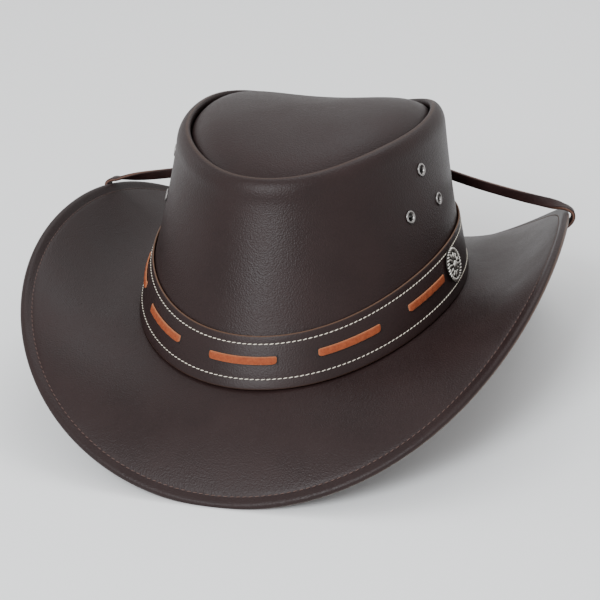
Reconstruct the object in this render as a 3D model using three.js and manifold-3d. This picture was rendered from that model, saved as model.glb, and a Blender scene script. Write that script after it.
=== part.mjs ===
// Leather hat with a dished crown and a brim curled up at both sides.
// Millimetres, +Z up, front towards -Y. The origin lies on the surface that
// the hat rests on, under the middle of the brim.

import * as THREE from 'three';
import { mergeVertices } from 'three/addons/utils/BufferGeometryUtils.js';
import Module from 'manifold-3d';

const wasm = await Module();
wasm.setup();

// Leather and the clearance between neighbouring pieces
const brimLeather = 2.2;
const wallLeather = 2;
const plateLeather = 1.8;
const gap = 0.3;

// Crown: the oval where it meets the brim, and the oval of its upper rim
const crownBaseWidth = 169;
const crownBaseLength = 225;
const crownTopWidth = 127;
const crownTopLength = 160;
const crownTopSetBack = 12.5;
const crownTopNarrowing = 0.14;
const crownHeight = 100;
const wallDish = 1;
const shoulderInset = 6.3;
const shoulderDrop = 11;
const flangeDepth = 4;
const rimRounding = 1.6;

// Brim: its leather from the crown to the edge, and the hem rolled over a wire
const brimWidth = 64;
const baseWave = 12.5;
const hemWidth = 7;
const hemRadius = 2;
const restFlat = 1.2;

// Top plate: a padded oval that stands in the rim
const plateDrop = 2.4;
const plateCushion = 9;
const plateFullness = 6;
const plateEdgeDip = 1.2;
const plateSkirt = 7;

// Band, its lace and the silver rosette
const bandLeather = 1.5;
const bandFoot = 1;
const bandHeight = 28.5;
const laceLength = 36;
const laceWidth = 4.8;
const laceThickness = 1;
const laceCount = 5;
const lacePitch = 56.3;
const laceShift = -0.8;
const laceLevel = 0.56;
const laceTaper = 0.6;
const rosetteDiameter = 18;
const rosetteThickness = 3.2;
const rosettePostDiameter = 4;
const rosettePlace = 142.5;
const rosetteHeight = 17.5;

// Ventilation eyelets, three on each side; those on the hat's right sit a few
// degrees further back
const eyeletDiameter = 7.2;
const eyeletBore = 3.6;
const eyeletBarrel = 4.8;
const eyeletFlange = 0.7;
const eyeletSetBack = 4;
const eyelets = [
  { name: 'top', at: 76.5, height: 73.3 },
  { name: 'rear', at: 86, height: 51.6 },
  { name: 'front', at: 67, height: 55.7 },
];

// Chin cord: a loop from under the brim, over its edges and round the back of
// the crown. Its points run from the crown's foot on the hat's left to the
// middle of the back, and the other half mirrors them.
const cordDiameter = 2.4;
const cordHalf = [
  [78.8, 38.4, 44.4],
  [88.2, 41, 43.6],
  [98.9, 43.9, 45.9],
  [108.6, 46.6, 50.6],
  [117.1, 48.9, 56.8],
  [124.5, 50.9, 62.2],
  [130.9, 52.7, 67.6],
  [134.3, 53.7, 71],
  [135.3, 53.9, 73.8],
  [134.7, 53.8, 76.4],
  [132.4, 53.4, 78.2],
  [127, 55, 78.9],
  [105, 64.5, 79.2],
  [76, 78.3, 80.2],
  [48, 90.8, 83.2],
  [25, 100.6, 86.2],
  [12, 103.9, 87],
];
const cordBack = [0, 104.8, 87.2];

// Radial sections from the front (0) to the back (180), the same on both sides:
// slope of the brim in degrees at its root, middle and edge, height of its
// root as a share of baseWave, height of the rim as a share of crownHeight and
// height of the band as a share of bandHeight.
const sections = [
  { at: 0, root: -19, middle: -36, edge: -53, rise: 0, rim: 0.938, band: 0.915 },
  { at: 30, root: -9, middle: -17, edge: -37, rise: 0.22, rim: 0.952, band: 0.93 },
  { at: 60, root: 3, middle: 20, edge: 4, rise: 0.73, rim: 0.986, band: 0.965 },
  { at: 90, root: -5, middle: 37.5, edge: 41, rise: 1, rim: 0.997, band: 0.99 },
  { at: 120, root: -18, middle: 25, edge: 36, rise: 0.815, rim: 0.981, band: 1 },
  { at: 150, root: -28, middle: -16, edge: -5, rise: 0.377, rim: 0.887, band: 1 },
  { at: 180, root: -27, middle: -37.5, edge: -45.5, rise: 0.12, rim: 0.835, band: 1 },
];

const stations = 72;
const degree = Math.PI / 180;

// A smooth, mirror-symmetric function of the angle through one table column
function around(column) {
  const last = sections.length - 1;
  const half = (i) => (i === 0 || i === last ? 0.5 : 1);
  const term = (k) => sections.reduce(
    (sum, row, j) => sum + half(j) * row[column] * Math.cos((k * j * Math.PI) / last), 0);
  const terms = sections.map((row, k) => (2 / last) * half(k) * term(k));
  return (angle) => terms.reduce((sum, value, k) => sum + value * Math.cos(k * angle), 0);
}

const rootSlope = around('root');
const middleSlope = around('middle');
const edgeSlope = around('edge');
const rise = around('rise');
const rimShare = around('rim');
const bandShare = around('band');

// Outward direction of the crown's foot, level
function outward(angle) {
  const x = Math.sin(angle) / crownBaseWidth;
  const y = -Math.cos(angle) / crownBaseLength;
  return new THREE.Vector3(x, y, 0).normalize();
}

// Foot of the crown wall on the brim's upper face, before the hat is set down
function footPoint(angle) {
  return new THREE.Vector3(
    (crownBaseWidth / 2) * Math.sin(angle),
    (-crownBaseLength / 2) * Math.cos(angle),
    baseWave * rise(angle));
}

// The brim's upper face along one section: points at given distances from the
// crown, each with its upward normal in the section's plane
function brimLine(angle, distances) {
  const out = outward(angle);
  const root = rootSlope(angle) * degree;
  const middle = middleSlope(angle) * degree;
  const edge = edgeSlope(angle) * degree;
  const slope = (s) => {
    const t = Math.max(0, s / brimWidth);
    return root + (4 * middle - 3 * root - edge) * t + 2 * (root + edge - 2 * middle) * t * t;
  };
  const step = 1;
  return distances.map((distance) => {
    const count = Math.max(1, Math.ceil(Math.abs(distance) / step));
    const length = distance / count;
    let level = 0;
    let height = 0;
    for (let i = 0; i < count; i += 1) {
      const phi = slope((i + 0.5) * length);
      level += Math.cos(phi) * length;
      height += Math.sin(phi) * length;
    }
    const phi = slope(distance);
    const point = footPoint(angle).addScaledVector(out, level);
    point.z += height;
    const normal = out.clone().multiplyScalar(-Math.sin(phi));
    normal.z = Math.cos(phi);
    const along = out.clone().multiplyScalar(Math.cos(phi));
    along.z = Math.sin(phi);
    return { point, normal, along };
  });
}

// The brim's outline in one section, from the root out along the underside,
// round the rolled edge and back over the top
const rollTurns = [-90, -45, 0, 45, 90];
function brimSection(angle) {
  const roll = brimWidth - hemRadius;
  const hemStart = brimWidth - hemWidth;
  const top = [-wallLeather, 0, 0.14, 0.3, 0.46, 0.62, 0.76]
    .map((share) => (share > 0 ? share * brimWidth : share));
  const upper = brimLine(angle, [...top, hemStart, roll]);
  const end = upper.pop();
  const centre = end.point.clone().addScaledVector(end.normal, -brimLeather / 2);
  const edge = rollTurns.map((turn) => centre.clone()
    .addScaledVector(end.normal, hemRadius * Math.sin(turn * degree))
    .addScaledVector(end.along, hemRadius * Math.cos(turn * degree)));
  const under = (place, depth) => place.point.clone().addScaledVector(place.normal, -depth);
  const fold = upper[upper.length - 1];
  return [
    ...upper.map((place) => under(place, brimLeather)),
    under(fold, brimLeather * 1.5),
    ...edge,
    ...upper.reverse().map((place) => place.point),
  ];
}

// How far the hat is lifted so that its lowest edge is pressed flat on z = 0
function lowestEdge(angle) {
  return Math.min(...brimSection(angle).map((point) => point.z));
}
const lift = -restFlat - Math.max(lowestEdge(0), lowestEdge(Math.PI));

// How far the hat is moved so that its middle lies over the origin
function outermostEdge(angle) {
  return Math.max(...brimSection(angle).map((point) => Math.abs(point.y)));
}
const shift = (outermostEdge(0) - outermostEdge(Math.PI)) / 2;

function setDown(point) {
  return new THREE.Vector3(point.x, point.y + shift, Math.max(0, point.z + lift));
}

// Rim of the crown, before the hat is set down
function rimPoint(angle) {
  const narrowing = 1 - crownTopNarrowing * Math.cos(angle);
  return new THREE.Vector3(
    (crownTopWidth / 2) * Math.sin(angle) * narrowing,
    crownTopSetBack - (crownTopLength / 2) * Math.cos(angle),
    crownHeight * rimShare(angle));
}

function moved(point, out, level, height) {
  const place = point.clone().addScaledVector(out, level);
  place.z += height;
  return place;
}

// A point of the wall's outer face: share 0 at the foot, 1 at the shoulder
function wallPoint(angle, share, offset) {
  const out = outward(angle);
  const shoulder = moved(rimPoint(angle), out, shoulderInset, -shoulderDrop);
  const place = footPoint(angle).lerp(shoulder, share);
  return moved(place, out, offset - wallDish * 4 * share * (1 - share), 0);
}

function wallLength(angle) {
  return wallPoint(angle, 0, 0).distanceTo(wallPoint(angle, 1, 0));
}

// A point at a height above the foot, measured up the wall
function onWall(angle, height, offset) {
  return wallPoint(angle, height / wallLength(angle), offset);
}

// The shoulder's quarter turn: share 0 at the shoulder, 1 at the rim
function shoulderPoint(angle, share, leather) {
  const turn = (share * Math.PI) / 2;
  return moved(rimPoint(angle), outward(angle),
    (shoulderInset - leather) * Math.cos(turn),
    -shoulderDrop * (1 - Math.sin(turn)) - leather * Math.sin(turn));
}

function crownSection(angle) {
  const out = outward(angle);
  const rim = rimPoint(angle);
  const walls = [0.2, 0.45, 0.7, 1];
  const turns = [0.3, 0.55, 0.8];
  const seat = brimLine(angle, [0, -wallLeather])
    .map((place) => place.point.addScaledVector(place.normal, gap));
  return [
    seat[1],
    seat[0],
    ...walls.map((share) => wallPoint(angle, share, 0)),
    ...turns.map((share) => shoulderPoint(angle, share, 0)),
    rim,
    moved(rim, out, -wallLeather * 0.8, -rimRounding * 0.3),
    moved(rim, out, -wallLeather, -rimRounding),
    moved(rim, out, -wallLeather, -flangeDepth),
    moved(rim, out, 0, -flangeDepth),
    ...turns.slice(0, 2).reverse().map((share) => shoulderPoint(angle, share, wallLeather)),
    ...walls.slice(0, 3).reverse().map((share) => wallPoint(angle, share, -wallLeather)),
  ];
}

// The top plate: share 1 at its edge and 0 in the middle
const plateTop = [1, 0.98, 0.94, 0.86, 0.7, 0.4];
const plateUnder = [0.975, 0.86, 0.5];
const plateRounding = 12;
function platePoint(angle, share, depth) {
  const out = outward(angle);
  const edge = moved(rimPoint(angle), out, -wallLeather - gap, 0);
  const middle = new THREE.Vector3(0, crownTopSetBack, 0);
  const place = middle.clone().lerp(new THREE.Vector3(edge.x, edge.y, 0), share);
  const front = rimShare(0);
  const back = rimShare(Math.PI);
  const side = rimShare(Math.PI / 2);
  const along = share * Math.cos(angle);
  const saddle = side + ((front - back) / 2) * along + ((front + back) / 2 - side) * along * along;
  const blend = share ** plateRounding;
  const level = saddle + (rimShare(angle) - saddle) * share * share;
  const cushion = plateCushion * (1 - share ** plateFullness);
  place.z = crownHeight * level - plateDrop + cushion - plateEdgeDip * blend - depth;
  return place;
}

function plateSection(angle) {
  const out = outward(angle);
  const edge = platePoint(angle, 1, 0);
  return [
    moved(edge, out, 0, -plateSkirt),
    ...plateTop.map((share) => platePoint(angle, share, 0)),
    { apex: platePoint(angle, 0, 0) },
    { apex: platePoint(angle, 0, plateLeather) },
    ...plateUnder.slice().reverse().map((share) => platePoint(angle, share, plateLeather)),
    moved(edge, out, -plateLeather, -plateSkirt),
  ];
}

// Height of a point of the band above the foot: share 0 at its lower edge
function bandLevel(angle, share) {
  return bandFoot + share * bandHeight * bandShare(angle);
}

function bandSection(angle) {
  const inner = gap;
  const outer = gap + bandLeather;
  const heights = [0, 0.5, 1].map((share) => bandLevel(angle, share));
  return [
    ...heights.map((height) => onWall(angle, height, outer)),
    ...heights.reverse().map((height) => onWall(angle, height, inner)),
  ];
}

// One closed solid from a section repeated round the hat. A section runs
// anticlockwise seen with the outside to the right, and may pass through apex
// points that all stations share.
function ringGeometry(section) {
  const points = [];
  const triangles = [];
  const rings = Array.from({ length: stations }, (unused, i) => section((i / stations) * 2 * Math.PI));
  const add = (point) => {
    points.push(point.x, point.y, point.z);
    return points.length / 3 - 1;
  };
  const shared = rings[0].map((entry) => (entry.apex ? add(setDown(entry.apex)) : -1));
  const index = rings.map((ring) => ring.map((entry, k) => (shared[k] < 0 ? add(setDown(entry)) : shared[k])));
  const count = index[0].length;
  const face = (a, b, c) => {
    if (a !== b && b !== c && c !== a) {
      triangles.push(a, b, c);
    }
  };
  for (let i = 0; i < stations; i += 1) {
    const here = index[i];
    const next = index[(i + 1) % stations];
    for (let k = 0; k < count; k += 1) {
      const l = (k + 1) % count;
      if (shared[k] < 0 || shared[l] < 0) {
        face(here[k], next[l], here[l]);
        face(here[k], next[k], next[l]);
      }
    }
  }
  const geometry = new THREE.BufferGeometry();
  geometry.setAttribute('position', new THREE.Float32BufferAttribute(points, 3));
  geometry.setIndex(triangles);
  return geometry;
}

// Conversions for cutting one closed solid with another
function toManifold(geometry) {
  const bare = geometry.clone();
  bare.deleteAttribute('normal');
  bare.deleteAttribute('uv');
  const merged = mergeVertices(bare, 1e-4);
  return new wasm.Manifold(new wasm.Mesh({
    numProp: 3,
    vertProperties: new Float32Array(merged.attributes.position.array),
    triVerts: new Uint32Array(merged.index.array),
  }));
}

function fromManifold(solid) {
  const mesh = solid.getMesh();
  const geometry = new THREE.BufferGeometry();
  geometry.setAttribute('position', new THREE.BufferAttribute(mesh.vertProperties, 3));
  geometry.setIndex(new THREE.BufferAttribute(mesh.triVerts, 1));
  return geometry;
}

function cut(geometry, tools) {
  const solid = tools.reduce((body, tool) => body.subtract(toManifold(tool)), toManifold(geometry));
  return fromManifold(solid);
}

// A frame on the crown's wall: x along it to the hat's left, y up it, z out
function wallFrame(angle, height, offset) {
  const delta = 0.01;
  const here = setDown(onWall(angle, height, offset));
  const along = setDown(onWall(angle + delta, height, offset)).sub(here).normalize();
  const up = setDown(onWall(angle, height + 1, offset)).sub(here).normalize();
  const out = along.clone().cross(up).normalize();
  const flatUp = out.clone().cross(along);
  return new THREE.Matrix4().makeBasis(along, flatUp, out).setPosition(here);
}

// A turned piece: the profile holds radius and height out of the wall
function turned(profile, sides) {
  const points = profile.map(([radius, height]) => new THREE.Vector2(radius, height));
  return new THREE.LatheGeometry(points, sides).rotateX(Math.PI / 2);
}

function drill(radius, frame) {
  const reach = 12;
  return new THREE.CylinderGeometry(radius, radius, reach, 10)
    .rotateX(Math.PI / 2)
    .applyMatrix4(frame);
}

// Eyelet: two flanges on a barrel, closed over the wall with the usual gap
function eyeletGeometry() {
  const bore = eyeletBore / 2;
  const barrel = eyeletBarrel / 2;
  const rim = eyeletDiameter / 2;
  const front = gap;
  const back = -wallLeather - gap;
  return turned([
    [bore, back - eyeletFlange],
    [rim * 0.85, back - eyeletFlange],
    [rim * 0.9, back],
    [barrel, back],
    [barrel, front],
    [rim, front],
    [rim * 0.75, front + eyeletFlange],
    [bore, front + eyeletFlange * 0.5],
    [bore, back - eyeletFlange],
  ], 10);
}

// Rosette: a domed disc whose short post goes through the band
function rosetteGeometry() {
  const rim = rosetteDiameter / 2;
  const post = rosettePostDiameter / 2;
  return turned([
    [0, -bandLeather],
    [post, -bandLeather],
    [post, gap],
    [rim, gap],
    [rim, gap + rosetteThickness * 0.45],
    [rim * 0.82, gap + rosetteThickness * 0.7],
    [rim * 0.45, gap + rosetteThickness * 0.85],
    [0, gap + rosetteThickness],
  ], 14);
}

// A function from distance round the band, starting at the front, to the angle
function bandRuler() {
  const fine = 720;
  const place = (i) => {
    const angle = (i / fine) * 2 * Math.PI;
    return onWall(angle, bandLevel(angle, laceLevel), gap + bandLeather);
  };
  const lengths = [0];
  for (let i = 1; i <= fine; i += 1) {
    lengths.push(lengths[i - 1] + place(i).distanceTo(place(i - 1)));
  }
  const total = lengths[fine];
  const angleAt = (length) => {
    const along = (length + total) % total;
    const i = Math.min(fine - 1, Math.max(0, lengths.findIndex((value) => value > along) - 1));
    const share = (along - lengths[i]) / (lengths[i + 1] - lengths[i]);
    return ((i + share) / fine) * 2 * Math.PI;
  };
  return angleAt;
}
const bandAngle = bandRuler();

// One stitch of lace: a strip bent along the band, with tapered ends
function laceGeometry(centre) {
  const steps = 6;
  const foot = gap + bandLeather + gap;
  const points = [];
  const triangles = [];
  for (let i = 0; i <= steps; i += 1) {
    const share = i / steps;
    const angle = bandAngle(centre + (share - 0.5) * laceLength);
    const end = i === 0 || i === steps ? laceTaper : 1;
    const half = (laceWidth / 2) * end;
    const raised = foot + laceThickness * end;
    [[-half, foot], [-half, raised], [half, raised], [half, foot]].forEach(([side, offset]) => {
      const point = setDown(onWall(angle, bandLevel(angle, laceLevel) + side, offset));
      points.push(point.x, point.y, point.z);
    });
  }
  for (let i = 0; i < steps; i += 1) {
    for (let k = 0; k < 4; k += 1) {
      const a = i * 4 + k;
      const b = i * 4 + ((k + 1) % 4);
      triangles.push(a, b + 4, b, a, a + 4, b + 4);
    }
  }
  const z = steps * 4;
  triangles.push(0, 1, 2, 0, 2, 3, z, z + 2, z + 1, z, z + 3, z + 2);
  const geometry = new THREE.BufferGeometry();
  geometry.setAttribute('position', new THREE.Float32BufferAttribute(points, 3));
  geometry.setIndex(triangles);
  return geometry;
}

function cordGeometry() {
  const half = cordHalf.map(([x, y, z]) => new THREE.Vector3(x, y, z));
  const mirrored = cordHalf.map(([x, y, z]) => new THREE.Vector3(-x, y, z)).reverse();
  const route = new THREE.CatmullRomCurve3([...half, new THREE.Vector3(...cordBack), ...mirrored]);
  const section = new THREE.Shape();
  section.absarc(0, 0, cordDiameter / 2, 0, Math.PI * 2);
  return new THREE.ExtrudeGeometry(section, { steps: 80, curveSegments: 4, extrudePath: route });
}

const colours = {
  leather: { color: 0x3a302e, roughness: 0.5, metalness: 0 },
  lace: { color: 0xb05c3a, roughness: 0.7, metalness: 0 },
  silver: { color: 0xb8b4aa, roughness: 0.4, metalness: 1 },
};

const hat = new THREE.Group();

function addPiece(name, geometry, finish) {
  geometry.computeVertexNormals();
  const mesh = new THREE.Mesh(geometry, new THREE.MeshStandardMaterial(colours[finish]));
  mesh.name = name;
  hat.add(mesh);
}

const vents = eyelets.flatMap(({ name, at, height }) => [
  { name: `eyelet_${name}_left`, frame: wallFrame(at * degree, height, 0) },
  { name: `eyelet_${name}_right`, frame: wallFrame(-(at + eyeletSetBack) * degree, height, 0) },
]);
const rosetteFrame = wallFrame(bandAngle(rosettePlace), rosetteHeight, gap + bandLeather);

addPiece('brim', ringGeometry(brimSection), 'leather');
addPiece('crown_side', cut(ringGeometry(crownSection),
  vents.map(({ frame }) => drill(eyeletBarrel / 2 + gap, frame))), 'leather');
addPiece('crown_top', ringGeometry(plateSection), 'leather');
addPiece('hat_band', cut(ringGeometry(bandSection),
  [drill(rosettePostDiameter / 2 + gap, rosetteFrame)]), 'leather');
for (let i = 0; i < laceCount; i += 1) {
  const centre = laceShift + (i - (laceCount - 1) / 2) * lacePitch;
  addPiece(`lace_${i + 1}`, laceGeometry(centre), 'lace');
}
vents.forEach(({ name, frame }) => {
  addPiece(name, eyeletGeometry().applyMatrix4(frame), 'silver');
});
addPiece('rosette', rosetteGeometry().applyMatrix4(rosetteFrame), 'silver');
addPiece('chin_cord', cordGeometry(), 'leather');

export default hat;
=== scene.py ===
import math

import bmesh
import bpy
from mathutils import Matrix, Vector


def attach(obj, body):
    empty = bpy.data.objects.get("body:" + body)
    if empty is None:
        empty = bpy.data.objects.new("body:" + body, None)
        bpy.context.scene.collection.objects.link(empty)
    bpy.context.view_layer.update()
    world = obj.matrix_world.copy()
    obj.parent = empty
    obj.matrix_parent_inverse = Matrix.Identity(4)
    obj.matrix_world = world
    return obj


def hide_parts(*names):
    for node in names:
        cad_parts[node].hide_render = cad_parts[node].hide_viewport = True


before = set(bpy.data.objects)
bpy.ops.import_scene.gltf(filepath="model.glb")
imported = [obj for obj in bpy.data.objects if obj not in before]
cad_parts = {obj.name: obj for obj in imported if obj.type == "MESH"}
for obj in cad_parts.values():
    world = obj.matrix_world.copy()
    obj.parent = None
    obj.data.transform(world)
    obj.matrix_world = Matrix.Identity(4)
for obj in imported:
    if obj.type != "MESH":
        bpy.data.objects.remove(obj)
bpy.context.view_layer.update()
mm = 0.001
scene = bpy.context.scene

# The camera stands where the photographer stood; angles in degrees
camera = {
    "azimuth": 17.919,
    "elevation": 22.264,
    "roll": -2.787,
    "distance": 0.9775,
    "lookAt": (0, 0, 0.065),
    "focal": 109.3,
    "sensorWidth": 36,
    "clipStart": 0.05,
    "tiltDown": 1.545,
    "turnLeft": 0.155,
}


def makeCamera(made):
    azimuth = math.radians(made["azimuth"])
    elevation = math.radians(made["elevation"])
    back = Vector((
        math.sin(azimuth) * math.cos(elevation),
        -math.cos(azimuth) * math.cos(elevation),
        math.sin(elevation)))
    right = Vector((math.cos(azimuth), math.sin(azimuth), 0))
    turned = Matrix((right, back.cross(right), back)).transposed().to_4x4()
    roll = Matrix.Rotation(math.radians(made["roll"]), 4, "Z")
    tilt = Matrix.Rotation(math.radians(-made["tiltDown"]), 4, "X")
    turn = Matrix.Rotation(math.radians(made["turnLeft"]), 4, "Y")
    lens = bpy.data.cameras.new("studioCamera")
    lens.lens = made["focal"]
    lens.sensor_width = made["sensorWidth"]
    lens.clip_start = made["clipStart"]
    eye = bpy.data.objects.new("studioCamera", lens)
    scene.collection.objects.link(eye)
    place = Matrix.Translation(Vector(made["lookAt"]) + back * made["distance"])
    eye.matrix_world = place @ turned @ roll @ turn @ tilt
    scene.camera = eye


makeCamera(camera)
print("camera placed")


# Helpers that every piece uses
def newPiece(name, bm, finish):
    mesh = bpy.data.meshes.new(name)
    for face in bm.faces:
        face.smooth = True
    bm.to_mesh(mesh)
    bm.free()
    mesh.materials.append(finish)
    piece = bpy.data.objects.new(name, mesh)
    scene.collection.objects.link(piece)
    return piece


def standFor(piece, slot, *nodes):
    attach(piece, "root")
    if nodes:
        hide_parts(*nodes)


def soften(piece, levels):
    smoother = piece.modifiers.new("soften", "SUBSURF")
    smoother.levels = levels
    smoother.render_levels = levels


def bakeModifiers(piece):
    graph = bpy.context.evaluated_depsgraph_get()
    finished = bpy.data.meshes.new_from_object(piece.evaluated_get(graph))
    piece.modifiers.clear()
    piece.data = finished


def laidGrid(along, across, place, marks=None):
    # A sheet of squares whose corners go to place(share along, share across)
    bm = bmesh.new()
    bmesh.ops.create_grid(bm, x_segments=along, y_segments=across, size=0.5)
    layers = {mark: bm.verts.layers.float.new(mark) for mark in (marks or {})}
    for corner in bm.verts:
        u, v = corner.co.x + 0.5, corner.co.y + 0.5
        for mark, layer in layers.items():
            corner[layer] = marks[mark](u, v)
        corner.co = place(u, v)
    return bm


def closeSeams(bm, reach=1e-6):
    bmesh.ops.remove_doubles(bm, verts=bm.verts, dist=reach)
    bmesh.ops.recalc_face_normals(bm, faces=bm.faces)
    return bm


def closeEnds(bm):
    closeSeams(bm)
    bmesh.ops.holes_fill(bm, edges=[edge for edge in bm.edges if edge.is_boundary])
    bmesh.ops.recalc_face_normals(bm, faces=bm.faces)
    return bm


def squared(value, power):
    # A cosine or sine whose circle is pushed out towards a square
    return math.copysign(abs(value) ** power, value) if abs(value) > 1e-9 else 0


def ringAround(stations, sectionAt, marks=None):
    # A closed section carried once round the hat; marks hold values along it
    sections = [sectionAt(2 * math.pi * i / stations) for i in range(stations)]
    count = len(sections[0])

    def place(u, v):
        return sections[round(u * stations) % stations][round(v * count) % count]

    def reader(values):
        return lambda u, v: values[round(v * count) % count]

    read = {mark: reader(values) for mark, values in (marks or {}).items()}
    return closeSeams(laidGrid(stations, count, place, read))


# The hat's measures, as in the part's source: millimetres, with some shares and powers
hat = {
    "brimLeather": 2.2,
    "wallLeather": 2,
    "plateLeather": 1.8,
    "gap": 0.3,
    "baseWidth": 169,
    "baseLength": 225,
    "topWidth": 127,
    "topLength": 160,
    "topSetBack": 12.5,
    "topNarrowing": 0.14,
    "crownHeight": 100,
    "wallDish": 1,
    "shoulderInset": 6.3,
    "shoulderDrop": 11,
    "brimWidth": 64,
    "baseWave": 12.5,
    "hemRadius": 2,
    "restFlat": 1.2,
    "plateDrop": 2.4,
    "plateCushion": 9,
    "plateFullness": 6,
    "plateEdgeDip": 1.2,
    "plateRounding": 12,
    "bandFoot": 1,
    "bandLeather": 1.5,
    "bandHeight": 28.5,
}

# Radial sections every 30 degrees from front to back: brim slopes in degrees
# at root, middle and edge, then shares of rise, rim height and band height
sections = {
    "root": (-19, -9, 3, -5, -18, -28, -27),
    "middle": (-36, -17, 20, 37.5, 25, -16, -37.5),
    "edge": (-53, -37, 4, 41, 36, -5, -45.5),
    "rise": (0, 0.22, 0.73, 1, 0.815, 0.377, 0.12),
    "rim": (0.938, 0.952, 0.986, 0.997, 0.981, 0.887, 0.835),
    "band": (0.915, 0.93, 0.965, 0.99, 1, 1, 1),
}


def aroundHat(column):
    last = len(column) - 1
    half = [0.5 if i in (0, last) else 1 for i in range(last + 1)]
    terms = [
        2 / last * half[k] * sum(
            half[j] * value * math.cos(k * j * math.pi / last)
            for j, value in enumerate(column))
        for k in range(last + 1)]
    return lambda angle: sum(term * math.cos(k * angle) for k, term in enumerate(terms))


shape = {name: aroundHat(column) for name, column in sections.items()}


def outward(angle):
    return Vector((
        math.sin(angle) / hat["baseWidth"], -math.cos(angle) / hat["baseLength"], 0)).normalized()


def footPoint(angle):
    return Vector((
        hat["baseWidth"] / 2 * math.sin(angle),
        -hat["baseLength"] / 2 * math.cos(angle),
        hat["baseWave"] * shape["rise"](angle)))


def brimPlaces(angle, distances):
    # Point, upward normal and outward direction on the brim's upper face
    out = outward(angle)
    root, middle, edge = (math.radians(shape[name](angle)) for name in ("root", "middle", "edge"))

    def slope(distance):
        t = max(0, distance / hat["brimWidth"])
        return root + (4 * middle - 3 * root - edge) * t + 2 * (root + edge - 2 * middle) * t * t

    places = []
    for distance in distances:
        count = max(1, math.ceil(abs(distance)))
        length = distance / count
        level = sum(math.cos(slope((i + 0.5) * length)) for i in range(count)) * length
        height = sum(math.sin(slope((i + 0.5) * length)) for i in range(count)) * length
        phi = slope(distance)
        point = footPoint(angle) + out * level + Vector((0, 0, height))
        normal = out * -math.sin(phi) + Vector((0, 0, math.cos(phi)))
        along = out * math.cos(phi) + Vector((0, 0, math.sin(phi)))
        places.append((point, normal, along))
    return places


def rollCentre(angle):
    point, normal, along = brimPlaces(angle, [hat["brimWidth"] - hat["hemRadius"]])[0]
    return point - normal * hat["brimLeather"] / 2, normal, along


def rollPoint(angle, turn, radius):
    centre, normal, along = rollCentre(angle)
    turn = math.radians(turn)
    return centre + (normal * math.sin(turn) + along * math.cos(turn)) * radius


def lowestEdge(angle):
    return min(rollPoint(angle, turn, hat["hemRadius"]).z for turn in (-90, -45, 0, 45, 90))


def reachOfEdge(angle):
    return max(abs(rollPoint(angle, turn, hat["hemRadius"]).y) for turn in (-90, -45, 0, 45, 90))


lift = -hat["restFlat"] - max(lowestEdge(0), lowestEdge(math.pi))
shift = (reachOfEdge(0) - reachOfEdge(math.pi)) / 2


def setDown(point):
    # Onto the floor, pressed flat where it bears, and into metres
    return Vector((point.x, point.y + shift, max(0, point.z + lift))) * mm


def rimPoint(angle):
    narrowing = 1 - hat["topNarrowing"] * math.cos(angle)
    return Vector((
        hat["topWidth"] / 2 * math.sin(angle) * narrowing,
        hat["topSetBack"] - hat["topLength"] / 2 * math.cos(angle),
        hat["crownHeight"] * shape["rim"](angle)))


def wallPoint(angle, share, offset):
    out = outward(angle)
    shoulder = rimPoint(angle) + out * hat["shoulderInset"]
    shoulder.z -= hat["shoulderDrop"]
    dish = hat["wallDish"] * 4 * share * (1 - share)
    return footPoint(angle).lerp(shoulder, share) + out * (offset - dish)


def onWall(angle, height, offset):
    # A point at a height above the crown's foot, measured up the wall
    wall = (wallPoint(angle, 0, 0) - wallPoint(angle, 1, 0)).length
    return wallPoint(angle, height / wall, offset)


def wallFrame(angle, height, offset):
    # x along the wall to the hat's left, y up it, z out of it
    here = setDown(onWall(angle, height, offset))
    along = (setDown(onWall(angle + 0.01, height, offset)) - here).normalized()
    up = (setDown(onWall(angle, height + 1, offset)) - here).normalized()
    out = along.cross(up).normalized()
    frameOf = Matrix((along, out.cross(along), out)).transposed().to_4x4()
    frameOf.translation = here
    return frameOf


def shoulderPoint(angle, share, leather):
    turn = share * math.pi / 2
    place = rimPoint(angle) + outward(angle) * (hat["shoulderInset"] - leather) * math.cos(turn)
    place.z -= hat["shoulderDrop"] * (1 - math.sin(turn)) + leather * math.sin(turn)
    return place


def platePoint(angle, share, depth):
    edge = rimPoint(angle) - outward(angle) * (hat["wallLeather"] + hat["gap"])
    place = Vector((0, hat["topSetBack"], 0)).lerp(Vector((edge.x, edge.y, 0)), share)
    front, back, side = shape["rim"](0), shape["rim"](math.pi), shape["rim"](math.pi / 2)
    along = share * math.cos(angle)
    saddle = side + (front - back) / 2 * along + ((front + back) / 2 - side) * along * along
    level = saddle + (shape["rim"](angle) - saddle) * share * share
    cushion = hat["plateCushion"] * (1 - share ** hat["plateFullness"])
    dip = hat["plateEdgeDip"] * share ** hat["plateRounding"]
    place.z = hat["crownHeight"] * level - hat["plateDrop"] + cushion - dip - depth
    return place


def bandLevel(angle, share):
    return hat["bandFoot"] + share * hat["bandHeight"] * shape["band"](angle)


# Finishes: node helpers first
def startFinish(name, colour, roughness, **sockets):
    finish = bpy.data.materials.new(name)
    finish.use_nodes = True
    shader = finish.node_tree.nodes["Principled BSDF"]
    shader.inputs["Base Color"].default_value = (*colour, 1)
    shader.inputs["Roughness"].default_value = roughness
    for socket, value in sockets.items():
        shader.inputs[socket.replace("_", " ")].default_value = value
    return finish, finish.node_tree, shader


def addNode(tree, kind, **settings):
    node = tree.nodes.new(kind)
    for name, value in settings.items():
        if name in node.inputs:
            node.inputs[name].default_value = value
        else:
            setattr(node, name, value)
    return node


def objectPlace(tree):
    return addNode(tree, "ShaderNodeTexCoord").outputs["Object"]


def addNoise(tree, scale, detail=3, roughness=0.5):
    noise = addNode(tree, "ShaderNodeTexNoise", Scale=scale, Detail=detail, Roughness=roughness)
    tree.links.new(objectPlace(tree), noise.inputs["Vector"])
    return noise.outputs["Fac"]


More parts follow.
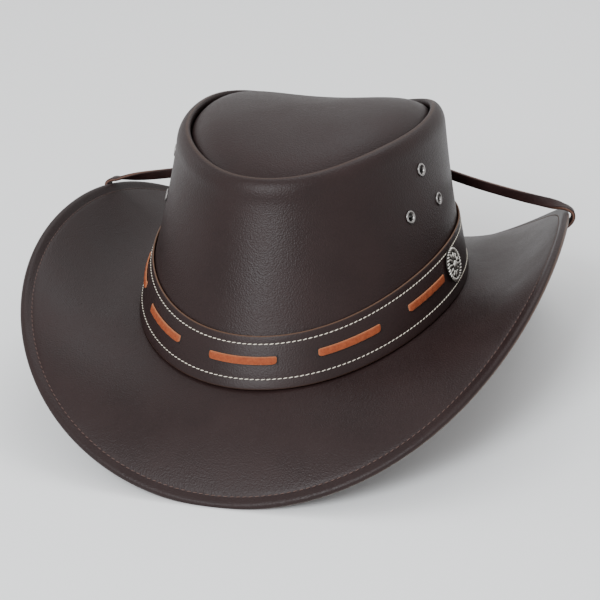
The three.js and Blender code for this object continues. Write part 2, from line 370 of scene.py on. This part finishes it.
def addCells(tree, scale):
    cells = addNode(tree, "ShaderNodeTexVoronoi", Scale=scale)
    cells.feature = "SMOOTH_F1"
    tree.links.new(objectPlace(tree), cells.inputs["Vector"])
    return cells.outputs["Distance"]


def spread(tree, value, low, high, toLow, toHigh):
    remap = addNode(tree, "ShaderNodeMapRange")
    for socket, amount in zip(remap.inputs[1:5], (low, high, toLow, toHigh)):
        socket.default_value = amount
    tree.links.new(value, remap.inputs[0])
    return remap.outputs[0]


def addMath(tree, operation, first, second):
    node = addNode(tree, "ShaderNodeMath", operation=operation)
    for socket, value in zip(node.inputs, (first, second)):
        if isinstance(value, (int, float)):
            socket.default_value = value
        else:
            tree.links.new(value, socket)
    return node.outputs[0]


def addShares(tree, first, share, second):
    rest = addMath(tree, "MULTIPLY", second, 1 - share)
    return addMath(tree, "ADD", addMath(tree, "MULTIPLY", first, share), rest)


def blendColours(tree, share, first, second):
    mix = addNode(tree, "ShaderNodeMix", data_type="RGBA")
    for socket, value in ((mix.inputs[6], first), (mix.inputs[7], second)):
        if isinstance(value, tuple):
            socket.default_value = (*value, 1)
        else:
            tree.links.new(value, socket)
    tree.links.new(share, mix.inputs[0])
    return mix.outputs[2]


def addBump(tree, shader, height, strength, distance):
    bump = addNode(tree, "ShaderNodeBump", Strength=strength, Distance=distance)
    tree.links.new(height, bump.inputs["Height"])
    tree.links.new(bump.outputs["Normal"], shader.inputs["Normal"])


def readMark(tree, mark):
    return addNode(tree, "ShaderNodeAttribute", attribute_name=mark).outputs["Fac"]


# Leather: a cloudy brown whose pores and cells also rule its shine and grain; its pale edge colour
# tints the raw cut edges and also paints highlights
leatherLook = {
    "colour": (0.0135, 0.0066, 0.0063),
    "lighter": (0.0205, 0.0102, 0.0097),
    # pale edge colour: the band's and thong's raw cut edges, and painted highlights on the brim's bead
    # and the crown's rim
    "rawEdgeAndHighlight": (0.20, 0.105, 0.06),
    "roughness": (0.36, 0.54),
    "specular": 0.22,
    "grainScale": 1500,
    "poreScale": 1000,
    "cloudScale": 26,
    "cloudShare": 0.6,
    "colourFrom": (0.35, 0.65),
    "roughnessFrom": (0.3, 0.7),
    "poreDepth": 0.8,
    "bump": 0.4,
    "bumpDepth": 0.0004,
}


def makeLeather(name, look, marks=()):
    finish, tree, shader = startFinish(
        name, look["colour"], look["roughness"][0], Specular_IOR_Level=look["specular"])
    cloud = addNoise(tree, look["cloudScale"], 4, 0.6)
    pores = addNoise(tree, look["poreScale"], 3, 0.6)
    cells = addCells(tree, look["grainScale"])
    tone = addShares(tree, cloud, look["cloudShare"], pores)
    paler = spread(tree, tone, *look["colourFrom"], 0, 1)
    colour = blendColours(tree, paler, look["colour"], look["lighter"])
    for mark in marks:
        colour = blendColours(tree, readMark(tree, mark), colour, look[mark])
    tree.links.new(colour, shader.inputs["Base Color"])
    dull = spread(tree, tone, *look["roughnessFrom"], *look["roughness"])
    tree.links.new(dull, shader.inputs["Roughness"])
    height = addMath(tree, "ADD", cells, addMath(tree, "MULTIPLY", pores, look["poreDepth"]))
    addBump(tree, shader, height, look["bump"], look["bumpDepth"])
    return finish


hatLeather = makeLeather("hatLeather", leatherLook, ("rawEdgeAndHighlight",))
bandLeather = makeLeather("bandLeather", {
    **leatherLook, "colour": (0.0145, 0.0078, 0.0074), "bump": 0.25}, ("rawEdgeAndHighlight",))
cordLeather = makeLeather("cordLeather", {
    **leatherLook, "colour": (0.014, 0.0068, 0.0065), "lighter": (0.028, 0.0115, 0.0105),
    "rawEdgeAndHighlight": (0.15, 0.07, 0.045), "cloudScale": 90}, ("rawEdgeAndHighlight",))


threadLook = {
    "cream": (0.74, 0.68, 0.57),
    "brown": (0.075, 0.040, 0.032),
    "roughness": 0.75,
    "fibreScale": 2600,
    "bump": 0.4,
    "bumpDepth": 0.0002,
}


def makeThread(name, colour, look):
    finish, tree, shader = startFinish(name, colour, look["roughness"])
    fibres = addNoise(tree, look["fibreScale"], 2)
    addBump(tree, shader, fibres, look["bump"], look["bumpDepth"])
    return finish


creamThread = makeThread("creamThread", threadLook["cream"], threadLook)
brownThread = makeThread("brownThread", threadLook["brown"], {**threadLook, "roughness": 0.7})
slotShade = startFinish("slotShade", (0.006, 0.004, 0.004), 0.9)[0]

# Lace: ribs across it, from a wave laid along its own map
laceLook = {
    "colour": (0.175, 0.032, 0.0105),
    "lighter": (0.31, 0.072, 0.023),
    "pale": (0.44, 0.19, 0.09),
    "roughness": 0.7,
    "specular": 0.2,
    "ribs": (26, 0.6, 1),
    "ribBend": 1.2,
    "ribDetail": 6,
    "ribShare": 0.35,
    "grainScale": 700,
    "colourFrom": (0.25, 0.75),
    "bump": 0.5,
    "bumpDepth": 0.0004,
}


def makeLace(look):
    finish, tree, shader = startFinish(
        "tanLace", look["colour"], look["roughness"], Specular_IOR_Level=look["specular"])
    wave = addNode(tree, "ShaderNodeTexWave", Scale=1, Distortion=look["ribBend"], Detail=2)
    wave.inputs["Detail Scale"].default_value = look["ribDetail"]
    stretch = addNode(tree, "ShaderNodeMapping", Scale=look["ribs"])
    ribs = addNode(tree, "ShaderNodeUVMap", uv_map="laceMap")
    tree.links.new(ribs.outputs["UV"], stretch.inputs["Vector"])
    tree.links.new(stretch.outputs["Vector"], wave.inputs["Vector"])
    noise = addNoise(tree, look["grainScale"])
    tone = addShares(tree, wave.outputs["Fac"], look["ribShare"], noise)
    paler = spread(tree, tone, *look["colourFrom"], 0, 1)
    colour = blendColours(tree, paler, look["colour"], look["lighter"])
    colour = blendColours(tree, readMark(tree, "pale"), colour, look["pale"])
    tree.links.new(colour, shader.inputs["Base Color"])
    addBump(tree, shader, tone, look["bump"], look["bumpDepth"])
    return finish


tanLace = makeLace(laceLook)

# Metals: colour and the range of roughness of their worn shine
metalLook = {
    "silver": ((0.52, 0.50, 0.46), (0.26, 0.46)),
    "hollows": ((0.05, 0.046, 0.042), (0.42, 0.62)),
    "nickel": ((0.30, 0.285, 0.275), (0.26, 0.46)),
    "wearScale": 600,
    "wearFrom": (0.3, 0.7),
}


def makeMetal(name, kind):
    colour, roughness = metalLook[kind]
    finish, tree, shader = startFinish(name, colour, roughness[0], Metallic=1)
    wear = addNoise(tree, metalLook["wearScale"], 4)
    worn = spread(tree, wear, *metalLook["wearFrom"], *roughness)
    tree.links.new(worn, shader.inputs["Roughness"])
    return finish


oldSilver = makeMetal("oldSilver", "silver")
darkSilver = makeMetal("darkSilver", "hollows")
oldNickel = makeMetal("oldNickel", "nickel")
print("finishes made")


# Chin cord: a flat thong on the source's own points, here in metres
cord = {
    "width": 5.6 * mm,
    "thick": 2.2 * mm,
    "length": 0.436,
    "steps": 320,
    "around": 16,
    "half": (
        (0.0788, 0.0384, 0.0444), (0.0882, 0.041, 0.0436), (0.0989, 0.0439, 0.0459),
        (0.1086, 0.0466, 0.0506), (0.1171, 0.0489, 0.0568), (0.1245, 0.0509, 0.0622),
        (0.1309, 0.0527, 0.0676), (0.1343, 0.0537, 0.071), (0.1353, 0.0539, 0.0738),
        (0.1347, 0.0538, 0.0764), (0.1324, 0.0534, 0.0782), (0.127, 0.055, 0.0789),
        (0.105, 0.0645, 0.0792), (0.076, 0.0783, 0.0802), (0.048, 0.0908, 0.0832),
        (0.025, 0.1006, 0.0862), (0.012, 0.1039, 0.087)),
    "back": (0, 0.1048, 0.0872),
    "lying": (-0.262, 0.965, 0),  # the broad side's direction under the brim and over its edge
    "turnStart": 10.4,  # at this point of the route the thong starts to stand on edge
    "turnPoints": 1.9,
    "squareness": 0.35,
    "edgeTint": 0.75,
}


def routePoint(four, share):
    # One point of the centripetal curve between the middle two of four points
    knots = [0]
    for a, b in zip(four, four[1:]):
        knots.append(knots[-1] + (b - a).length ** 0.5)
    t = knots[1] + share * (knots[2] - knots[1])

    def mix(a, b, low, high):
        return a * ((high - t) / (high - low)) + b * ((t - low) / (high - low))

    first = [mix(four[i], four[i + 1], knots[i], knots[i + 1]) for i in range(3)]
    second = [mix(first[i], first[i + 1], knots[i], knots[i + 2]) for i in range(2)]
    return mix(second[0], second[1], knots[1], knots[2])


def smoothRoute(points, steps):
    ends = [points[0] * 2 - points[1], *points, points[-1] * 2 - points[-2]]
    spans = len(points) - 1
    route = []
    for i in range(steps + 1):
        at = min(i / steps * spans, spans - 1e-6)
        route.append(routePoint(ends[int(at):int(at) + 4], at - int(at)))
    return route


def makeCord(made):
    half = [Vector(point) for point in made["half"]]
    points = [*half, Vector(made["back"]), *(Vector((-p.x, p.y, p.z)) for p in reversed(half))]
    route = smoothRoute(points, made["steps"])
    last = len(points) - 1
    lying, standing = Vector(made["lying"]), Vector((0, 0, 1))
    other = Vector((made["lying"][0], -made["lying"][1], 0))
    frames = []
    for i, point in enumerate(route):
        onward = (route[min(i + 1, made["steps"])] - route[max(i - 1, 0)]).normalized()
        at = i / made["steps"] * last
        near, base = (at, lying) if at < last / 2 else (last - at, other)
        turn = min(max((near - made["turnStart"]) / made["turnPoints"], 0), 1)
        turn = turn * turn * (3 - 2 * turn)
        wide = base * (1 - turn) + standing * turn
        wide = (wide - onward * wide.dot(onward)).normalized()
        frames.append((point, wide, onward.cross(wide)))

    def place(u, v):
        point, wide, thin = frames[round(u * made["steps"])]
        angle = 2 * math.pi * round(v * made["around"]) / made["around"]
        c = squared(math.cos(angle), made["squareness"])
        s = squared(math.sin(angle), made["squareness"])
        return point + wide * c * made["width"] / 2 + thin * s * made["thick"] / 2

    def edgeMark(u, v):
        turn = round(v * made["around"]) % (made["around"] // 2)
        return made["edgeTint"] if turn == 0 else 0

    bm = closeEnds(laidGrid(made["steps"], made["around"], place, {"rawEdgeAndHighlight": edgeMark}))
    piece = newPiece("chinThong", bm, cordLeather)
    standFor(piece, "cord_leather", "chin_cord")
    measured = sum((b - a).length for a, b in zip(route, route[1:]))
    print("chin thong laid, length", round(measured, 4))


makeCord(cord)


# Brim: its section runs out along the underside, round the wire and back on top
brim = {
    "stations": 144,
    "inner": (-2, 0, 5, 11, 18, 25, 32, 39, 46, 52, 55.5),
    "stitchLine": 58,
    "stitchDip": 0.35,
    "dipEdges": ((-0.9, 0.02), (0.9, 0.05)),
    "beadRadius": 2.15,
    "turns": (-100, -70, -40, -10, 20, 42, 64, 92, 122),
    # painted highlight: one row on the bead's outer crest is tinted towards the pale edge colour
    "highlightTurn": 3,
    "rawEdgeAndHighlightTint": 0.4,
    "hemFold": 1.1,
    "hemUnder": ((56.6, 0), (57, 0.85), (58.4, 1), (59.6, 1)),  # distance, share of the fold
}


def brimSection(angle):
    thick = hat["brimLeather"]
    before, after = brim["dipEdges"]
    dip = (before, (0, brim["stitchDip"]), after)
    top = [(distance, 0) for distance in brim["inner"]]
    top += [(brim["stitchLine"] + aside, depth) for aside, depth in dip]
    under = [(distance, thick) for distance in brim["inner"]]
    under += [(distance, thick + brim["hemFold"] * share) for distance, share in brim["hemUnder"]]
    places = brimPlaces(angle, [distance for distance, depth in under + top])
    points = [
        point - normal * depth
        for (point, normal, along), (distance, depth) in zip(places, under + top)]
    edge = [rollPoint(angle, turn, brim["beadRadius"]) for turn in brim["turns"]]
    upper = points[len(under):]
    return [setDown(point) for point in points[:len(under)] + edge + upper[::-1]]


def brimMarks():
    # A painted highlight along the bead's outer crest, in the pale edge colour
    count = len(brimSection(0))
    start = len(brim["inner"]) + len(brim["hemUnder"])
    values = [0.0] * count
    values[start + brim["highlightTurn"]] = brim["rawEdgeAndHighlightTint"]
    return {"rawEdgeAndHighlight": values}


def makeBrim():
    ring = ringAround(brim["stations"], brimSection, brimMarks())
    piece = newPiece("brimLeather", ring, hatLeather)
    soften(piece, 1)
    standFor(piece, "hat_leather", "brim")


makeBrim()
print("brim made")


# Crown: wall, rounded shoulder and the rim turned down inside
crown = {
    "stations": 144,
    "walls": (0.1, 0.25, 0.4, 0.55, 0.7, 0.85, 1),
    "turns": (0.15, 0.3, 0.45, 0.6, 0.75, 0.88),
    "rimRound": ((0, 0), (-0.5, 0.12), (-1.2, -0.05), (-1.75, -0.6), (-2, -1.6), (-2, -4)),
    "rimDrop": 4,
    # painted highlight on the crest of the rim's fold, in the pale edge colour
    "rimHighlightTint": 0.10,
    "holeRadius": 2.7,
    "drillLength": 16,
    "sharpAngle": 50,
}

# Eyelets: places in degrees from the front and millimetres up the wall
eyelet = {
    "places": ((76.5, 73.3), (86, 51.6), (67, 55.7)),
    "setBack": 4,
    "profile": (
        (1.9, -3.0), (3.1, -3.0), (3.3, -2.7), (3.24, -2.3), (2.45, -2.3), (2.45, 0.1), (3.45, 0.05),
        (3.58, 0.25), (3.45, 0.62), (3.05, 0.86), (2.6, 0.84), (2.25, 0.55), (2.0, 0.05), (1.9, -0.7)),
    "steps": 28,
}


def crownSection(angle):
    out, rim = outward(angle), rimPoint(angle)
    leather = hat["wallLeather"]
    seat = [point + normal * hat["gap"] for point, normal, along in brimPlaces(angle, [-leather, 0])]
    outer = [wallPoint(angle, share, 0) for share in crown["walls"]]
    outer += [shoulderPoint(angle, share, 0) for share in crown["turns"]]
    top = [rim + out * across + Vector((0, 0, up)) for across, up in crown["rimRound"]]
    inner = [rim + Vector((0, 0, -crown["rimDrop"]))]
    inner += [shoulderPoint(angle, share, leather) for share in crown["turns"][3::-1]]
    inner += [wallPoint(angle, share, -leather) for share in crown["walls"][-2::-1]]
    return [setDown(point) for point in [*seat, *outer, *top, *inner]]


def crownMarks():
    # A painted highlight: the two rows on the crest of the rim's fold are tinted paler
    count = len(crownSection(0))
    first = 2 + len(crown["walls"]) + len(crown["turns"])
    values = [0.0] * count
    values[first] = values[first + 1] = crown["rimHighlightTint"]
    return {"rawEdgeAndHighlight": values}


def ventFrames():
    return [
        wallFrame(math.radians(turn), height, 0)
        for at, height in eyelet["places"] for turn in (at, -at - eyelet["setBack"])]


def makeCrown():
    ring = ringAround(crown["stations"], crownSection, crownMarks())
    piece = newPiece("crownLeather", ring, hatLeather)
    soften(piece, 1)
    bakeModifiers(piece)
    drill = bmesh.new()
    for place in ventFrames():
        bmesh.ops.create_cone(
            drill, cap_ends=True, segments=32, radius1=crown["holeRadius"] * mm,
            radius2=crown["holeRadius"] * mm, depth=crown["drillLength"] * mm, matrix=place)
    cutter = newPiece("ventDrill", drill, slotShade)
    cut = piece.modifiers.new("vents", "BOOLEAN")
    cut.operation = "DIFFERENCE"
    cut.solver = "EXACT"
    cut.object = cutter
    bakeModifiers(piece)
    bpy.data.objects.remove(cutter)
    piece.data.set_sharp_from_angle(angle=math.radians(crown["sharpAngle"]))
    standFor(piece, "hat_leather", "crown_side")


def makeEyelets():
    bm = bmesh.new()
    for place in ventFrames():
        corners = [bm.verts.new((radius * mm, 0, up * mm)) for radius, up in eyelet["profile"]]
        edges = [bm.edges.new((a, b)) for a, b in zip(corners, corners[1:] + corners[:1])]
        bmesh.ops.spin(
            bm, geom=corners + edges, cent=(0, 0, 0), axis=(0, 0, 1), angle=2 * math.pi,
            steps=eyelet["steps"], use_merge=True)
        fresh = [vert for vert in bm.verts if not vert.tag]
        bmesh.ops.transform(bm, matrix=place, verts=fresh)
        for vert in fresh:
            vert.tag = True
    closeSeams(bm)
    piece = newPiece("eyelets", bm, oldNickel)
    soften(piece, 1)
    standFor(piece, "eyelet_metal", *(
        f"eyelet_{place}_{side}" for place in ("top", "rear", "front") for side in ("left", "right")))


makeCrown()
makeEyelets()
print("crown and eyelets made")


# Top plate: a padded dish in the rim
plate = {
    "stations": 96,
    "top": (0.995, 0.97, 0.93, 0.87, 0.79, 0.68, 0.55, 0.4, 0.22),
    "skirt": 7,
    "edgeStep": 0.8,
    "underReach": 0.965,
}


def plateSection(angle):
    leather = hat["plateLeather"]
    edge = platePoint(angle, 1, 0)
    inward = edge - outward(angle) * leather
    down = Vector((0, 0, -plate["skirt"]))
    top = [platePoint(angle, share, 0) for share in plate["top"]]
    under = [
        platePoint(angle, min(share, plate["underReach"]), leather) for share in plate["top"][1:]]
    return [setDown(point) for point in [
        edge + down, edge + down / 2, edge + Vector((0, 0, -plate["edgeStep"])), *top,
        platePoint(angle, 0, 0), platePoint(angle, 0, leather), *under[::-1],
        inward + down / 2, inward + down]]


def makePlate():
    piece = newPiece("plateLeather", ringAround(plate["stations"], plateSection), hatLeather)
    soften(piece, 1)
    standFor(piece, "hat_leather", "crown_top")


makePlate()
print("top plate made")


# Band with a dip along each row of stitches; heights in millimetres from its edges
band = {
    "stations": 144,
    "topRow": 3.9,
    "lowRow": 5.2,
    "dip": 0.3,
    "dipWide": 1.2,
    "edgeRound": 0.25,
    "topRound": 0.15,
    "rawEdgeAndHighlightTint": 0.6,
    "lowTint": 0.28,
}


def bandSection(angle):
    low, high = bandLevel(angle, 0), bandLevel(angle, 1)
    inner, outer = hat["gap"], hat["gap"] + hat["bandLeather"]
    edgeRound = band["edgeRound"]

    def between(share):
        return low * (1 - share) + high * share

    def dipAt(row):
        wide = band["dipWide"]
        return [(row - wide, outer), (row, outer - band["dip"]), (row + wide, outer)]

    places = [
        (low, inner), (low, outer - edgeRound), (low + edgeRound, outer),
        *dipAt(low + band["lowRow"]), (between(0.4), outer), (between(0.6), outer),
        *dipAt(high - band["topRow"]), (high - edgeRound, outer), (high, outer - band["topRound"]),
        (high, inner), (between(0.7), inner), (between(0.3), inner)]
    return [setDown(onWall(angle, height, offset)) for height, offset in places]


def bandMarks():
    # The section's first two points are its lower edge, points 12 and 13 its top edge
    values = [0.0] * len(bandSection(0))
    values[0] = values[1] = band["lowTint"]
    values[12] = values[13] = band["rawEdgeAndHighlightTint"]
    return {"rawEdgeAndHighlight": values}


def makeBand():
    ring = ringAround(band["stations"], bandSection, bandMarks())
    piece = newPiece("bandLeather", ring, bandLeather)
    soften(piece, 1)
    standFor(piece, "band_leather", "hat_band")


makeBand()


def measureRound(pointAt, fine=1440):
    # Distances round the hat along pointAt, and the angle at each of them
    points = [pointAt(2 * math.pi * i / fine) for i in range(fine + 1)]
    lengths = [0]
    for a, b in zip(points, points[1:]):
        lengths.append(lengths[-1] + (b - a).length)

    def angleAt(length):
        length %= lengths[-1]
        low, high = 0, fine
        while high - low > 1:
            middle = (low + high) // 2
            low, high = (middle, high) if lengths[middle] <= length else (low, middle)
        share = (length - lengths[low]) / (lengths[high] - lengths[low])
        return 2 * math.pi * (low + share) / fine

    return lengths[-1], angleAt


# Stitches: small rounded grains of thread, one row for each line of sewing
stitch = {
    "bandPitch": 2.75,
    "bandLong": 2.25,
    "bandWide": 0.46,
    "hemPitch": 3.1,
    "hemLong": 2.3,
    "hemWide": 0.5,
    "slant": 7,
    "bandSink": 0.1,
    "hemSink": 0.15,
    "underStep": 1,
    "underSink": 3.35,
    "segments": (8, 5),
}


def sewRow(name, finish, slot, frameAt, pitch, long, wide):
    total, angleAt = measureRound(lambda angle: frameAt(angle).translation)
    count = round(total / (pitch * mm))
    slant = Matrix.Rotation(math.radians(stitch["slant"]), 4, "Z")
    size = Matrix.Diagonal((long * mm / 2, wide * mm / 2, wide * mm / 2, 1))
    lying = slant @ size @ Matrix.Rotation(math.pi / 2, 4, "Y")
    aroundIt, alongIt = stitch["segments"]
    grain = bmesh.new()
    bmesh.ops.create_uvsphere(
        grain, u_segments=aroundIt, v_segments=alongIt, radius=1, matrix=lying)
    one = bpy.data.meshes.new("oneStitch")
    grain.to_mesh(one)
    grain.free()
    bm = bmesh.new()
    for i in range(count):
        before = len(bm.verts)
        bm.from_mesh(one)
        bm.verts.ensure_lookup_table()
        bmesh.ops.transform(bm, matrix=frameAt(angleAt(total * i / count)), verts=bm.verts[before:])
    piece = newPiece(name, bm, finish)
    standFor(piece, slot)


def bandRow(share, aside):
    # A row at a distance up from the band's lower or upper edge
    def frameAt(angle):
        offset = hat["gap"] + hat["bandLeather"] - stitch["bandSink"]
        return wallFrame(angle, bandLevel(angle, share) + aside, offset)
    return frameAt


def hemRow(distance, depth):
    def frameAt(angle):
        def there(at):
            point, normal, along = brimPlaces(at, [distance])[0]
            return setDown(point - normal * depth)
        here = there(angle)
        onward = (there(angle + 0.01) - here).normalized()
        normal = brimPlaces(angle, [distance])[0][1]
        up = (normal - onward * normal.dot(onward)).normalized()
        turned = Matrix((onward, up.cross(onward), up)).transposed().to_4x4()
        turned.translation = here
        return turned
    return frameAt


def sewAll():
    onBand = (stitch["bandPitch"], stitch["bandLong"], stitch["bandWide"])
    onHem = (stitch["hemPitch"], stitch["hemLong"], stitch["hemWide"])
    over = hemRow(brim["stitchLine"], stitch["hemSink"])
    under = hemRow(brim["stitchLine"] + stitch["underStep"], stitch["underSink"])
    sewRow("topStitches", creamThread, "band_leather", bandRow(1, -band["topRow"]), *onBand)
    sewRow("lowStitches", creamThread, "band_leather", bandRow(0, band["lowRow"]), *onBand)
    sewRow("hemStitches", brownThread, "hat_leather", over, *onHem)
    sewRow("underStitches", brownThread, "hat_leather", under, *onHem)


sewAll()
print("band and stitches made")


# Lace: five stitches of a flat lace, each diving into a slot at both ends
lace = {
    "count": 5,
    "pitch": 56.3,
    "shift": -0.8,
    "length": 36,
    "width": 3.9,
    "thick": 1.1,
    "level": 0.555,
    "steps": 36,
    "around": 12,
    "flatness": (0.45, 0.6),
    "endRun": 2.2,
    "endWidth": 0.62,
    "endDive": 0.9,
    "lift": 0.12,
    "wave": 0.12,
    "waveTurn": 1.15,
    "slotLong": 0.9,
    "slotTall": 5.2,
    "slotThick": 0.24,
    "slotAside": 0.1,
    "slotLift": 0.02,
}

# How pale the lace is: along its very edges, just inside them, at its ends
paleness = {
    "edge": 0.8,
    "edgeFrom": 0.95,
    "beside": 0.25,
    "besideFrom": 0.8,
    "end": 0.4,
    "endReach": 0.02,
}
laceAngle = measureRound(
    lambda a: setDown(onWall(a, bandLevel(a, lace["level"]), hat["gap"] + hat["bandLeather"])) / mm)[1]
laceCentres = [
    lace["shift"] + (i - (lace["count"] - 1) / 2) * lace["pitch"] for i in range(lace["count"])]


def lacePlace(centre, u, v):
    outer = hat["gap"] + hat["bandLeather"]
    at = (u - 0.5) * lace["length"]
    fromEnd = lace["length"] / 2 - abs(at)
    end = min(fromEnd / lace["endRun"], 1)
    rounding = math.sqrt(max(0, 1 - (1 - end) ** 2))
    narrow = lace["endWidth"] + (1 - lace["endWidth"]) * rounding
    angle = laceAngle(centre + at)
    turn = 2 * math.pi * v
    c = squared(math.cos(turn), lace["flatness"][0])
    s = squared(math.sin(turn), lace["flatness"][1])
    side = c * lace["width"] / 2 * narrow
    rise = lace["lift"] + lace["thick"] / 2 * (1 + s) - lace["endDive"] * (1 - end) ** 2
    wave = lace["wave"] * math.sin(at * lace["waveTurn"]) * (s > 0)
    return setDown(onWall(angle, bandLevel(angle, lace["level"]) + side, outer + rise + wave))


def paleEdge(u, v):
    side = abs(math.cos(2 * math.pi * v))
    if side > paleness["edgeFrom"]:
        pale = paleness["edge"]
    else:
        pale = paleness["beside"] if side > paleness["besideFrom"] else 0
    return max(pale, paleness["end"] if min(u, 1 - u) < paleness["endReach"] else 0)


def mapLace(bm):
    # The ribs' map: along the lace and round it, before its seam is closed
    chart = bm.loops.layers.uv.new("laceMap")
    bm.verts.index_update()
    row = lace["steps"] + 1
    for face in bm.faces:
        for loop in face.loops:
            index = loop.vert.index
            loop[chart].uv = (index % row / lace["steps"], index // row / lace["around"])


def makeLaces():
    for i, centre in enumerate(laceCentres):
        bm = laidGrid(
            lace["steps"], lace["around"], lambda u, v: lacePlace(centre, u, v), {"pale": paleEdge})
        mapLace(bm)
        closeEnds(bm)
        piece = newPiece(f"laceStitch{i + 1}", bm, tanLace)
        soften(piece, 1)
        standFor(piece, "tan_lace", f"lace_{i + 1}")


def makeSlotShade():
    # Painted shade: flat dark ovals at each lace end stand in for the shade inside the slots
    bm = bmesh.new()
    size = Matrix.Diagonal((*(
        lace[name] * mm / 2 for name in ("slotLong", "slotTall", "slotThick")), 1))
    offset = hat["gap"] + hat["bandLeather"] + lace["slotLift"]
    for centre in laceCentres:
        for side in (-1, 1):
            at = laceAngle(centre + side * (lace["length"] / 2 + lace["slotAside"]))
            place = wallFrame(at, bandLevel(at, lace["level"]), offset)
            bmesh.ops.create_uvsphere(bm, u_segments=16, v_segments=6, radius=1, matrix=place @ size)
    piece = newPiece("laceSlotShade", bm, slotShade)
    standFor(piece, "band_leather")


makeLaces()
makeSlotShade()
print("lace made")


# Rosette: a dished disc on a post, with a roped edge, a ring of rays and a domed middle
rosette = {
    "place": 142.5,
    "scale": 1.06,
    "height": 17.5,
    "disc": ((0, 0.3), (7.4, 0.3), (8.3, 0.5), (8.45, 0.9), (8.1, 1.5), (7.2, 1.75), (6.6, 1.45),
             (5.6, 1.3), (4.0, 1.75), (2.4, 2.0), (0, 2.1)),
    "steps": 48,
    "postRadius": 2,
    "postLength": 1.8,
    "postMiddle": -0.5,
    "beads": {"count": 30, "start": 0, "at": (7.6, 0, 1.45), "turn": (40, "Z"),
              "size": (1.15, 0.62, 0.75), "segments": (10, 7)},
    "rays": {"count": 12, "start": 0.5, "at": (4.6, 0, 1.65), "turn": (8, "Y"),
             "size": (1.75, 0.72, 0.62), "segments": (12, 8)},
    "dome": {"count": 1, "start": 0, "at": (0, 0, 1.9), "turn": (0, "Z"),
             "size": (2.1, 2.1, 1.2), "segments": (24, 12)},
}


def addRound(bm, made):
    # Rounded grains at even turns about the rosette's middle
    for i in range(made["count"]):
        turn = Matrix.Rotation(2 * math.pi * (i + made["start"]) / made["count"], 4, "Z")
        degrees, axis = made["turn"]
        own = Matrix.Translation(made["at"]) @ Matrix.Rotation(math.radians(degrees), 4, axis)
        bmesh.ops.create_uvsphere(
            bm, u_segments=made["segments"][0], v_segments=made["segments"][1], radius=1,
            matrix=turn @ own @ Matrix.Diagonal((*made["size"], 1)))


def makeRosette():
    angle = laceAngle(rosette["place"])
    place = wallFrame(angle, rosette["height"], hat["gap"] + hat["bandLeather"])
    scale = Matrix.Scale(mm * rosette["scale"], 4)
    base = bmesh.new()
    corners = [base.verts.new((radius, 0, up)) for radius, up in rosette["disc"]]
    edges = [base.edges.new((a, b)) for a, b in zip(corners, corners[1:])]
    bmesh.ops.spin(
        base, geom=corners + edges, cent=(0, 0, 0), axis=(0, 0, 1), angle=2 * math.pi,
        steps=rosette["steps"], use_merge=True)
    bmesh.ops.create_cone(
        base, cap_ends=True, segments=16, radius1=rosette["postRadius"],
        radius2=rosette["postRadius"], depth=rosette["postLength"],
        matrix=Matrix.Translation((0, 0, rosette["postMiddle"])))
    bmesh.ops.transform(base, matrix=place @ scale, verts=base.verts)
    closeSeams(base)
    disc = newPiece("rosetteDisc", base, darkSilver)
    standFor(disc, "old_silver", "rosette")
    relief = bmesh.new()
    for grains in ("beads", "rays", "dome"):
        addRound(relief, rosette[grains])
    bmesh.ops.transform(relief, matrix=place @ scale, verts=relief.verts)
    raised = newPiece("rosetteRelief", relief, oldSilver)
    standFor(raised, "old_silver")


makeRosette()
print("rosette made")


# Studio: pale floor, soft lights and a bright even surround
studio = {
    "floor": (0.86, 0.86, 0.86),
    "floorReach": 6,
    "floorRoughness": 0.9,
    "floorDrop": 0.0002,  # clear of the brim, which rests at zero
    "surround": 1.0,
    "lampColour": (0.93, 0.97, 1),
    "lights": (
        ("keyLight", (-0.2, -1.75, 1.3), (0.75, 0.9), 46),
        ("sideLight", (-1.7, 0.6, 0.9), (0.6, 1.0), 2),
        ("topLight", (0.2, 0.9, 1.9), (1.4, 1.0), 15),
    ),
    "aim": (0, 0, 0.07),
}


def makeStudio(made):
    bm = bmesh.new()
    bmesh.ops.create_grid(bm, x_segments=1, y_segments=1, size=made["floorReach"])
    finish = startFinish("paleFloor", made["floor"], made["floorRoughness"])[0]
    floor = newPiece("paleFloor", bm, finish)
    floor.location.z = -made["floorDrop"]
    for name, place, size, power in made["lights"]:
        lamp = bpy.data.lights.new(name, "AREA")
        lamp.shape = "RECTANGLE"
        lamp.size, lamp.size_y = size
        lamp.energy = power
        lamp.color = made["lampColour"]
        light = bpy.data.objects.new(name, lamp)
        scene.collection.objects.link(light)
        light.location = place
        toHat = Vector(made["aim"]) - Vector(place)
        light.rotation_euler = toHat.to_track_quat("-Z", "Y").to_euler()
    world = bpy.data.worlds.new("paleSurround")
    world.use_nodes = True
    glow = world.node_tree.nodes["Background"]
    glow.inputs["Color"].default_value = (1, 1, 1, 1)
    glow.inputs["Strength"].default_value = made["surround"]
    scene.world = world


makeStudio(studio)
print("studio lit")
